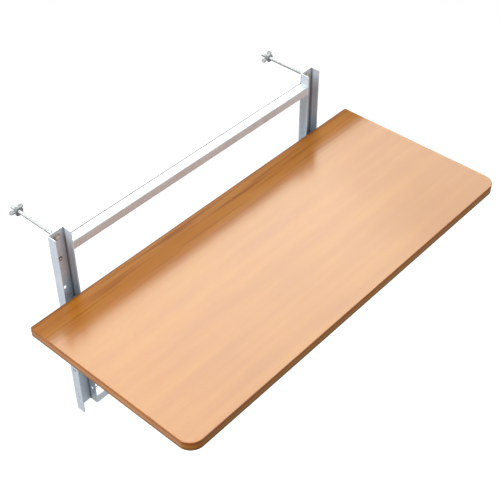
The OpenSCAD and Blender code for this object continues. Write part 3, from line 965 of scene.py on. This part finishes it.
def growth_rings(tree, place):
    """Rings round a pith that runs along under the board, leaning and swaying a little."""
    pith = tree.nodes.new("ShaderNodeMapping")
    pith.inputs["Location"].default_value = (0, -PITH_Y, PITH_BELOW - board_high.z)
    tree.links.new(place, pith.inputs["Vector"])
    lean = tree.nodes.new("ShaderNodeMapping")
    lean.inputs["Rotation"].default_value = PITH_LEANS
    tree.links.new(pith.outputs["Vector"], lean.inputs["Vector"])
    sway = tree.nodes.new("ShaderNodeTexNoise")
    sway.inputs["Scale"].default_value = SWAYS_A_METRE
    sway.inputs["Detail"].default_value = 2
    tree.links.new(lean.outputs["Vector"], sway.inputs["Vector"])
    sway_size = tree.nodes.new("ShaderNodeVectorMath")
    sway_size.operation = "MULTIPLY"
    sway_size.inputs[1].default_value = SWAY
    tree.links.new(sway.outputs["Color"], sway_size.inputs[0])
    swayed = tree.nodes.new("ShaderNodeVectorMath")
    swayed.operation = "ADD"
    tree.links.new(lean.outputs["Vector"], swayed.inputs[0])
    tree.links.new(sway_size.outputs["Vector"], swayed.inputs[1])
    rings = tree.nodes.new("ShaderNodeTexWave")
    rings.wave_type = "RINGS"
    rings.rings_direction = "X"
    rings.wave_profile = "SAW"
    rings.inputs["Scale"].default_value = math.pi / (10 * RING_W)
    rings.inputs["Distortion"].default_value = 1.5
    rings.inputs["Detail"].default_value = 2
    rings.inputs["Detail Scale"].default_value = 0.6
    tree.links.new(swayed.outputs["Vector"], rings.inputs["Vector"])
    return ramp(tree, rings.outputs["Fac"], *RING_TONES)


def stained_wood():
    """Flat sawn softwood: growth rings, streaks, clouds and fine fibres under a clear lacquer."""
    finish, tree, shader, place = start_finish("stained_softwood")
    late = growth_rings(tree, place)
    streaks = spots(tree, place, 22 * MM, stretch=(18, 1, 1), detail=2)
    clouds = spots(tree, place, 90 * MM, stretch=(2.2, 1, 1), detail=2)
    fibres = spots(tree, place, 0.8 * MM, stretch=(60, 1, 1), detail=2)
    tone = calculate(tree, "MULTIPLY", late, RING_SHARE)
    for pattern, share in ((streaks, STREAK_SHARE), (clouds, CLOUD_SHARE), (fibres, FIBRE_SHARE)):
        tone = calculate(tree, "ADD", tone, calculate(tree, "MULTIPLY", pattern, share))
    stain_and_shade = ramp(tree, tone, (0.3, STAIN_PALE), (0.52, STAIN_MID), (0.76, STAIN_DEEP))
    end_stain = ramp(tree, tone, (0.4, END_PALE), (0.66, END_DEEP))
    x, y, z = along(tree, place)
    lines = spots(tree, place, 7 * MM, stretch=(26, 1, 1), detail=3)
    lines = fade(tree, lines, *LINE_SHARPNESS)
    lines = calculate(tree, "MULTIPLY", lines, fade(tree, y, LINES_FROM, LINES_FULL))
    stain_and_shade = mixed(tree, lines, stain_and_shade, BROWN_LINE)
    aside = calculate(tree, "ABSOLUTE", x)
    cut_end = fade(tree, aside, board_high.x - END_GRAIN_DEPTH, board_high.x)
    # Painted shade: the last few millimetres at the board's back, ends included, are darkened to a deep
    # brown.
    at_back = fade(tree, y, board_high.y - BACK_RIM_SHADE_W, board_high.y - 0.6 * BACK_RIM_SHADE_W)
    colour = mixed(tree, at_back, mixed(tree, cut_end, stain_and_shade, end_stain), BACK_RIM_SHADE)
    height = fade(tree, z, board_low.z, board_high.z, kind="LINEAR")
    shade = ramp(tree, height, *SHADE_BY_HEIGHT)
    tree.links.new(ramp(tree, height, *COAT_BY_HEIGHT), shader.inputs["Coat Weight"])
    colour = mixed(tree, 1, colour, shade, kind="MULTIPLY")
    tree.links.new(colour, shader.inputs["Base Color"])
    tree.links.new(ramp(tree, tone, (0.4, 0.45), (0.7, 0.55)), shader.inputs["Roughness"])
    shader.inputs["Specular IOR Level"].default_value = 0
    shader.inputs["Coat IOR"].default_value = 1.6
    shader.inputs["Coat Roughness"].default_value = 0.2
    raise_surface(tree, shader, fibres, 0.05 * MM, 0.1)
    return finish


wood = stained_wood()
board = bmesh.new()
bmesh.ops.create_grid(board, x_segments=1, y_segments=1, size=0.5)
board_size = board_high - board_low
board_middle = (board_high + board_low) / 2
stretch = Matrix.Diagonal((board_size.x, board_size.y, 1, 1))
place = Matrix.Translation((board_middle.x, board_middle.y, board_low.z))
bmesh.ops.transform(board, matrix=place @ stretch, verts=board.verts)
for radius, corners, steps in (
    (FRONT_R, [vert for vert in board.verts if vert.co.y < board_middle.y], 16),
    (BACK_R, [vert for vert in board.verts if vert.co.y > board_middle.y], 6),
):
    bmesh.ops.bevel(
        board, geom=corners, offset=radius, offset_type="OFFSET", segments=steps, profile=0.5,
        affect="VERTICES", clamp_overlap=True, material=-1,
    )
risen = bmesh.ops.extrude_face_region(board, geom=board.faces[:])["geom"]
tops = [item for item in risen if isinstance(item, bmesh.types.BMVert)]
bmesh.ops.translate(board, verts=tops, vec=(0, 0, board_size.z))
bmesh.ops.recalc_face_normals(board, faces=board.faces)
soften(board, RIM_R, 5, above=60)
finished(board, "wooden_top", "board", "top_wood", wood, "tabletop_board")

# Arms: two slim channels folded from steel sheet, screwed up into the board. Their two rear
# cheeks are drilled for the pivot pins, so that the board hinges in the uprights.
WOOD_SCREW_R = 1.9 * MM
WOOD_SCREW_HEAD_R = 4.5 * MM
ARM_SCREWS = (40 * MM, 110 * MM, 215 * MM, 315 * MM)
FLAT_WITHIN = math.radians(0.5)


def from_cad(node, width, segments=2):
    """A node's own shape with its seams closed and its edges broken."""
    shape = bmesh.new()
    shape.from_mesh(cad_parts[node].data)
    bmesh.ops.remove_doubles(shape, verts=shape.verts, dist=SEAM_GAP)
    bmesh.ops.dissolve_limit(
        shape, angle_limit=FLAT_WITHIN, verts=shape.verts, edges=shape.edges,
        use_dissolve_boundaries=False,
    )
    soften(shape, width, segments)
    return shape


yellow_zinc = metal("yellow_zinc", **yellow_plating)
for side in SIDES:
    node = "arm_" + side
    finished(from_cad(node, EDGE_R), side + "_arm_channel", "board", "frame_steel", galvanised, node)
    node = "arm_screws_" + side
    low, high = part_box(node)
    x = middle(node).x
    seat_z = board_low.z - SHEET
    head_t = seat_z - low.z
    row = []
    for reach in ARM_SCREWS:
        seat = Vector((x, arm_hinge.y - reach, seat_z))
        row.append(screw(seat, -Z_AXIS, WOOD_SCREW_HEAD_R, head_t, WOOD_SCREW_R, high.z - seat_z))
    finished(together(*row), side + "_arm_screws", "board", "fastener_zinc", yellow_zinc, node)

# Saddles: two moulded nylon blocks under the board, with a ramp and a round seat that takes the
# sleeved crossbar. Two screws hold each one by its lugs.
SADDLE_SCREW_HEAD_R = 3.5 * MM
SADDLE_SCREW_R = 1.75 * MM
SADDLE_EDGE_R = 0.6 * MM
LUG_OUT = 27 * MM
LUG_T = 4 * MM
low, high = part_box("saddle_screws")
screws = []
for side in SIDES:
    node = "saddle_" + side
    shape = from_cad(node, SADDLE_EDGE_R, 3)
    finished(shape, side + "_bar_saddle", "board", "nylon_black", black_nylon, node)
    for way in (-1, 1):
        seat = Vector((saddle_x[side] + way * LUG_OUT, bar_axis.y, board_low.z - LUG_T))
        head_t = seat.z - low.z
        shank_l = high.z - seat.z
        screws.append(screw(seat, -Z_AXIS, SADDLE_SCREW_HEAD_R, head_t, SADDLE_SCREW_R, shank_l))
node = "saddle_screws"
finished(together(*screws), "saddle_wood_screws", "board", "fastener_zinc", yellow_zinc, node)

# Studio: a white floor well below the table and a white surround, which the camera and the
# reflections see, with softer light for the surfaces themselves.
FLOOR_Z = -1.1
FLOOR_GREY = 0.42
FLOOR_R = 2.6
FLOOR_GLOW = 0.8
FLOOR_GLOW_MIRRORED = 0.35
AMBIENT = 0.31
MIRRORED_SKY = 0.9
WHITE_SKY = (1.0, 1.0, 1.0)
DAYLIGHT = (0.84, 0.98, 1.1)


def straight_rays(tree):
    """The kinds of ray, and those that come from the camera, through glass or not."""
    rays = tree.nodes.new("ShaderNodeLightPath").outputs
    return rays, calculate(tree, "MAXIMUM", rays["Is Camera Ray"], rays["Is Transmission Ray"])


floor_shape = bmesh.new()
bmesh.ops.create_circle(
    floor_shape, cap_ends=True, segments=96, radius=FLOOR_R, matrix=Matrix.Translation((0, 0, FLOOR_Z)),
)
floor = loose_object("studio_floor", floor_shape)
floor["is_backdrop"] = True
paint, tree, shader, place = start_finish("studio_white")
grey = ramp(tree, spots(tree, place, 0.5), (0.3, FLOOR_GREY - 0.01), (0.7, FLOOR_GREY + 0.01))
tree.links.new(grey, shader.inputs["Base Color"])
shader.inputs["Roughness"].default_value = 0.9
shader.inputs["Specular IOR Level"].default_value = 0
shader.inputs["Emission Color"].default_value = (1, 1, 1, 1)
rays, direct = straight_rays(tree)
mirrored = calculate(tree, "MULTIPLY", rays["Is Glossy Ray"], FLOOR_GLOW_MIRRORED)
glow = calculate(tree, "MAXIMUM", calculate(tree, "MULTIPLY", direct, FLOOR_GLOW), mirrored)
tree.links.new(glow, shader.inputs["Emission Strength"])
floor.data.materials.append(paint)

world = bpy.data.worlds.new("studio")
bpy.context.scene.world = world
world.use_nodes = True
tree = world.node_tree
sky = tree.nodes["Background"]
rays, strength = straight_rays(tree)
for kind, share in (("Is Glossy Ray", MIRRORED_SKY), ("Is Diffuse Ray", AMBIENT)):
    part = calculate(tree, "MULTIPLY", rays[kind], share)
    strength = calculate(tree, "MAXIMUM", strength, part)
tree.links.new(strength, sky.inputs["Strength"])
tree.links.new(mixed(tree, rays["Is Diffuse Ray"], WHITE_SKY, DAYLIGHT), sky.inputs["Color"])

# Ledge: a dark underside behind the uprights, part of the studio and not of the table. It shows
# only in reflections, so that the lacquer darkens softly toward the board's back edge.
LEDGE_HALF = 0.6
LEDGE_FRONT = -1.5 * MM
LEDGE_BACK = 90 * MM
ledge_shape = bmesh.new()
line = outline(ledge_shape, [(-LEDGE_HALF, LEDGE_FRONT, 0), (LEDGE_HALF, LEDGE_FRONT, 0)])
risen = bmesh.ops.extrude_edge_only(ledge_shape, edges=line)["geom"]
far_side = [item for item in risen if isinstance(item, bmesh.types.BMVert)]
bmesh.ops.translate(ledge_shape, verts=far_side, vec=(0, LEDGE_BACK - LEDGE_FRONT, 0))
ledge = loose_object("mirrored_ledge", ledge_shape)
if ledge.data.polygons[0].normal.z > 0:
    ledge.data.flip_normals()
ledge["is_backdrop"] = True
paint, tree, shader, place = start_finish("dark_underside")
dark = ramp(tree, spots(tree, place, 0.05), (0.3, 0.02), (0.7, 0.03))
tree.links.new(dark, shader.inputs["Base Color"])
shader.inputs["Roughness"].default_value = 0.9
seen_from = tree.nodes.new("ShaderNodeNewGeometry")
clear = tree.nodes.new("ShaderNodeBsdfTransparent")
one_sided = tree.nodes.new("ShaderNodeMixShader")
tree.links.new(seen_from.outputs["Backfacing"], one_sided.inputs["Fac"])
tree.links.new(shader.outputs["BSDF"], one_sided.inputs[1])
tree.links.new(clear.outputs["BSDF"], one_sided.inputs[2])
tree.links.new(one_sided.outputs["Shader"], tree.nodes["Material Output"].inputs["Surface"])
ledge.data.materials.append(paint)
for kind in ("camera", "diffuse", "transmission", "shadow"):
    setattr(ledge, "visible_" + kind, False)

# Lamps: beyond the table a wide panel and its dimmer wing, which show only in reflections, and a
# softbox for the light itself. A key light stands at the left and a low one in front at the right.
# Each row: name, place, ways of its back and width, width, height, radiance, tint, lights, mirrors.
BEYOND = (0.5726, 0.4700, 0.6717)
LEVEL = (-0.8157, 0.2452, 0.5238)
WHITE = (1.0, 0.98, 0.84)
COOL = (0.95, 0.98, 1.0)
BLUISH = (0.88, 0.97, 1.06)
KEY_BACK = (-0.74, 0.0, 0.66)
FRONT_BACK = (0.3, -0.85, 0.4)
LAMPS = (
    ("mirrored_panel", (0.765, 0.942, 1.432), BEYOND, LEVEL, 1.61, 1.42, 5.5, WHITE, False, True),
    ("mirrored_wing", (1.748, 0.646, 0.801), BEYOND, LEVEL, 0.8, 1.42, 3.7, WHITE, False, True),
    ("back_softbox", (1.603, 1.112, 1.791), BEYOND, LEVEL, 1.96, 1.96, 2.5, COOL, True, False),
    ("key_softbox", (-1.83, -0.01, 1.53), KEY_BACK, Y_AXIS, 0.35, 1.8, 23, COOL, True, True),
    ("front_softbox", (0.7, -2.1, 1.0), FRONT_BACK, X_AXIS, 1.0, 1.2, 3.6, BLUISH, True, True),
)
for name, place, backward, sideways, width, height, radiance, tint, lights, mirrors in LAMPS:
    lamp = bpy.data.lights.new(name, "AREA")
    lamp.shape = "RECTANGLE"
    lamp.size = width
    lamp.size_y = height
    lamp.color = tint
    lamp.energy = radiance * math.pi * width * height
    backward = Vector(backward).normalized()
    sideways = (Vector(sideways) - backward * Vector(sideways).dot(backward)).normalized()
    up = backward.cross(sideways)
    facing = Matrix([sideways, up, backward]).transposed().to_4x4()
    stand = bpy.data.objects.new(name, lamp)
    stand.matrix_world = Matrix.Translation(place) @ facing
    stand.visible_camera = False
    stand.visible_diffuse = lights
    stand.visible_glossy = mirrors
    bpy.context.scene.collection.objects.link(stand)

# Camera: above the left front corner of the board, looking down along it toward the far bolt, so
# that both uprights show behind the board.
eye = bpy.data.cameras.new("photo_view")
eye.sensor_width = 36
eye.lens = 74.145
camera = bpy.data.objects.new("photo_view", eye)
camera.location = (-0.99646, -1.02098, 1.07693)
camera.rotation_euler = Euler((0.83256, 0.001676, -0.843494), "XYZ")
bpy.context.scene.collection.objects.link(camera)
bpy.context.scene.camera = camera
bpy.context.scene.view_settings.view_transform = "Standard"

low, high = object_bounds()
